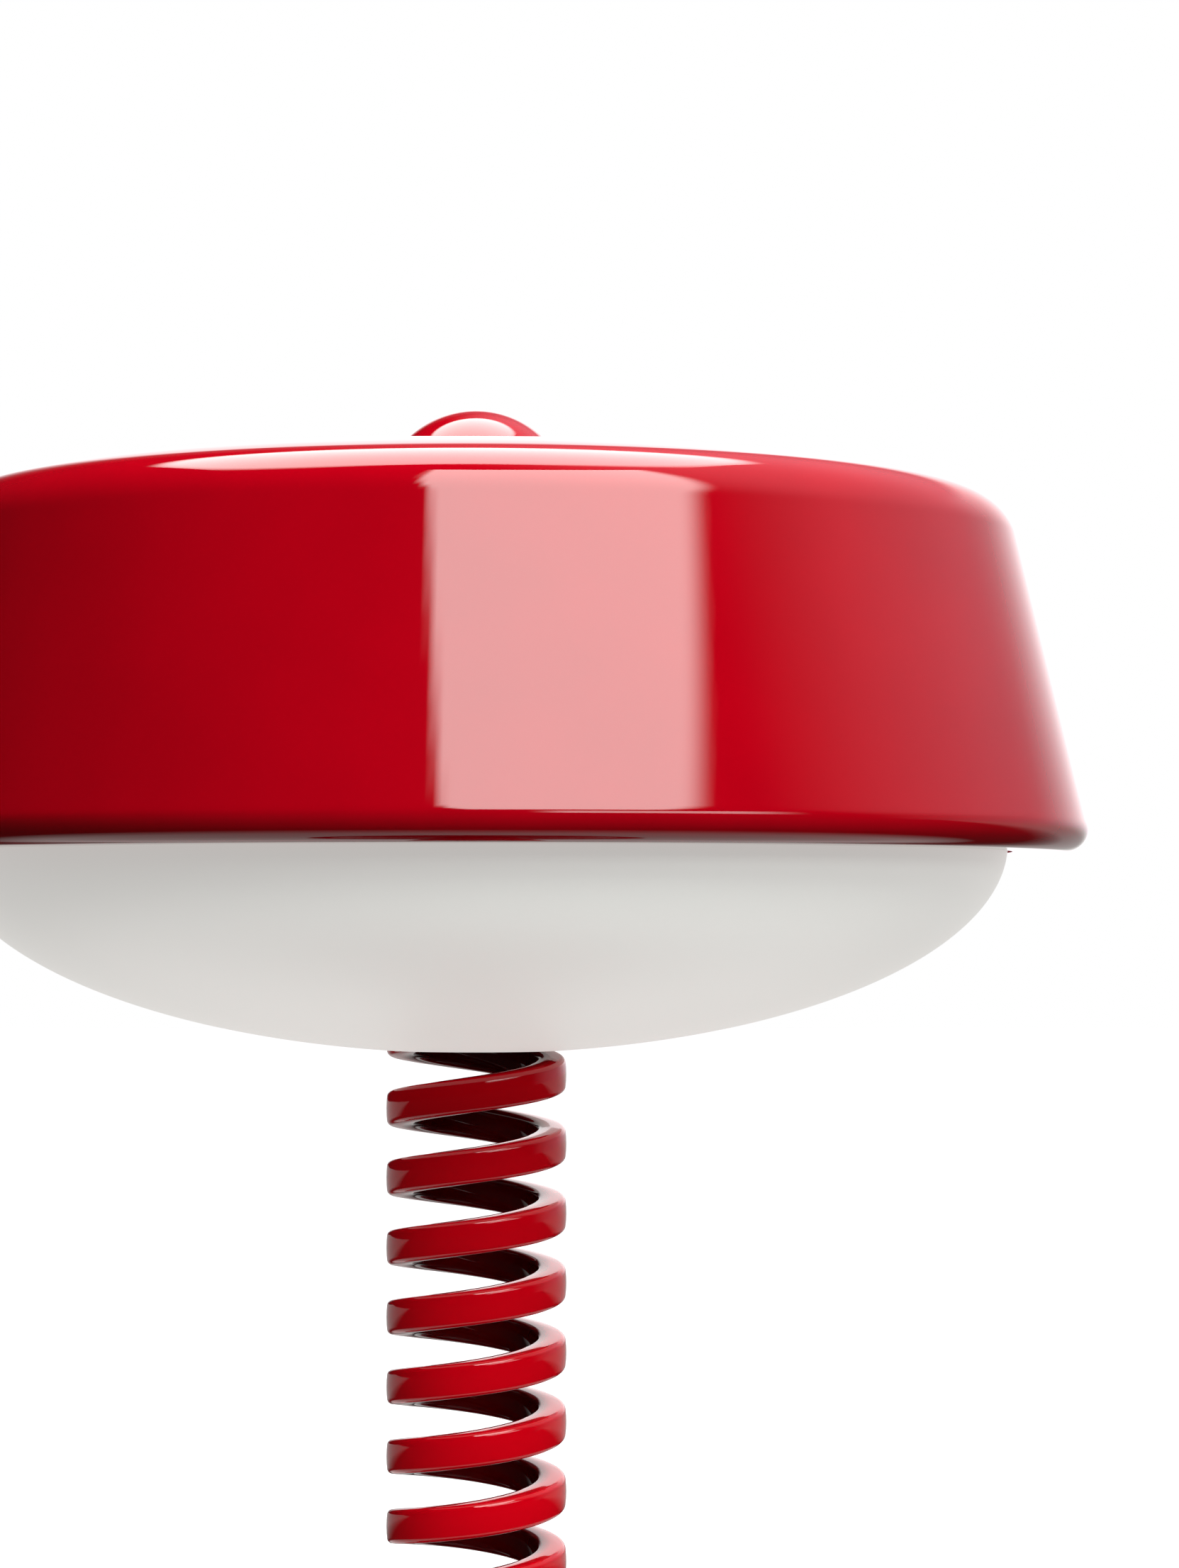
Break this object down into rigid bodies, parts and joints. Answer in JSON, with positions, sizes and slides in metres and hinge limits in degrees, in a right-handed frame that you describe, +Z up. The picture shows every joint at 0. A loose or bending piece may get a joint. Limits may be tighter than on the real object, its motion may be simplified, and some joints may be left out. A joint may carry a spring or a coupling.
{
  "type": "table lamp",
  "caption": "Cordless table lamp: a glossy round shade over an opal diffuser, on a stem that is one flat-wire coil spring, with a weighted round base and a domed dimmer knob on top.",
  "frame": {"origin": "centre of the base's underside, on the table", "axes": "+Z up along the stem, -Y towards the front, +Y towards the charging port"},
  "size_m": [0.2164, 0.2164, 0.3178],
  "materials": {
    "red_lacquer": "high-gloss red lacquer on spun steel",
    "red_coil": "glossy red powder coat on spring steel",
    "red_knob": "high-gloss red lacquer on a turned knob",
    "opal": "satin opal acrylic",
    "white_reflector": "matt white",
    "white_board": "white solder mask",
    "green_board": "green solder mask",
    "phosphor": "clear resin over yellow phosphor",
    "chassis_alu": "brushed",
    "plain_steel": "zinc plated",
    "spring_steel": "bright",
    "can_alu": "sleeved can",
    "cell_wrap": "blue shrink sleeve on a metal can",
    "black_plastic": "fine moulded texture",
    "chip_black": "moulded package",
    "ferrite": "shielded ferrite",
    "lead_sleeve": "insulated lead",
    "lead_sleeve_white": "insulated lead",
    "connector": "nylon",
    "cast_weight": "as cast, oiled",
    "plate_steel": "black powder coat",
    "pad_rubber": "matt"
  },
  "bodies": {
    "base": {"base_shell": "red_lacquer", "base_weight": "cast_weight", "lower_socket": "plain_steel", "lower_set_screws": "plain_steel", "hub_screws": "plain_steel", "base_plate": "plate_steel", "base_screws": "plain_steel", "base_pad": "pad_rubber"},
    "stem": {"stem_spring": "red_coil"},
    "head": {"shade_shell": "red_lacquer", "diffuser": "opal", "reflector": "white_reflector", "led_board": "white_board", "driver_board": "green_board", "leds": "phosphor", "chassis_plate": "chassis_alu", "chassis_standoffs": "plain_steel", "chassis_screws": "plain_steel", "clip_rivets": "chassis_alu", "light_screws": "plain_steel", "diffuser_clips": "spring_steel", "upper_socket": "plain_steel", "upper_socket_screws": "plain_steel", "upper_set_screws": "plain_steel", "battery_cell_left": "cell_wrap", "battery_cell_right": "cell_wrap", "battery_cradle_left": "black_plastic", "battery_cradle_right": "black_plastic", "battery_contacts": "spring_steel", "driver_spacers": "connector", "driver_screws": "plain_steel", "driver_chips": "chip_black", "driver_coil": "ferrite", "driver_capacitors": "can_alu", "lead_socket": "connector", "battery_lead_left": "lead_sleeve", "battery_lead_right": "lead_sleeve", "light_lead": "lead_sleeve_white", "dimmer_lead": "lead_sleeve_white", "dimmer_housing": "black_plastic", "dimmer_washer": "plain_steel", "dimmer_nut": "plain_steel", "click_dome": "spring_steel", "port_bezel": "black_plastic", "usb_socket": "plain_steel"},
    "plunger": {"dimmer_plunger": "connector"},
    "knob": {"knob": "red_knob", "dimmer_shaft": "plain_steel", "knob_screw": "plain_steel"}
  },
  "joints": [
    {"name": "stem_sway_side", "type": "hinge", "parent": "base", "child": "stem", "pos_m": [0, 0, 0.072], "axis": [0, 1, 0], "range_deg": [-7, 7], "stiffness_Nm_per_rad": 15.6, "deforming": ["stem_spring"]},
    {"name": "stem_sway_fore", "type": "hinge", "parent": "stem", "child": "head", "pos_m": [0, 0, 0.162], "axis": [1, 0, 0], "range_deg": [-7, 7], "stiffness_Nm_per_rad": 15.6, "deforming": ["stem_spring"]},
    {"name": "dimmer_press", "type": "slide", "parent": "head", "child": "plunger", "axis": [0, 0, -1], "range_m": [0, 0.001], "stiffness_N_per_m": 2500, "springref_m": -0.0006},
    {"name": "dimmer_turn", "type": "hinge", "parent": "plunger", "child": "knob", "pos_m": [0, 0, 0.31], "axis": [0, 0, -1], "range_deg": [0, 300]}
  ]
}
